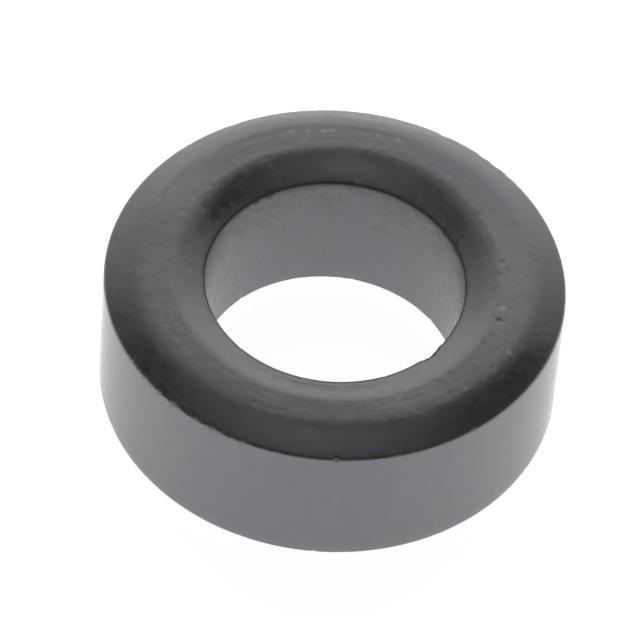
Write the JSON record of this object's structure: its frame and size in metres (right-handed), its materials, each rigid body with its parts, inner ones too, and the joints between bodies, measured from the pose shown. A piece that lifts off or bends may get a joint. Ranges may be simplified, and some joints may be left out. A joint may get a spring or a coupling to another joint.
{
  "type": "ferrite ring core",
  "caption": "Bare ferrite toroid with a round bore, straight walls and crowned, rounded-off end faces, for winding inductors and transformers or slipping over a wire.",
  "frame": {"origin": "middle of the bottom plane, on the ring's axis, where the flat land of the lower face rests", "axes": "+Z along the ring's axis, up; +X and +Y are alike, and the picture looks along +Y from above"},
  "size_m": [0.0126, 0.0126, 0.0048],
  "materials": {
    "sintered_ferrite": "dark grey, as-sintered satin, with a soft mineral sheen"
  },
  "bodies": {
    "root": {"ferrite_core": "sintered_ferrite"}
  },
  "joints": []
}
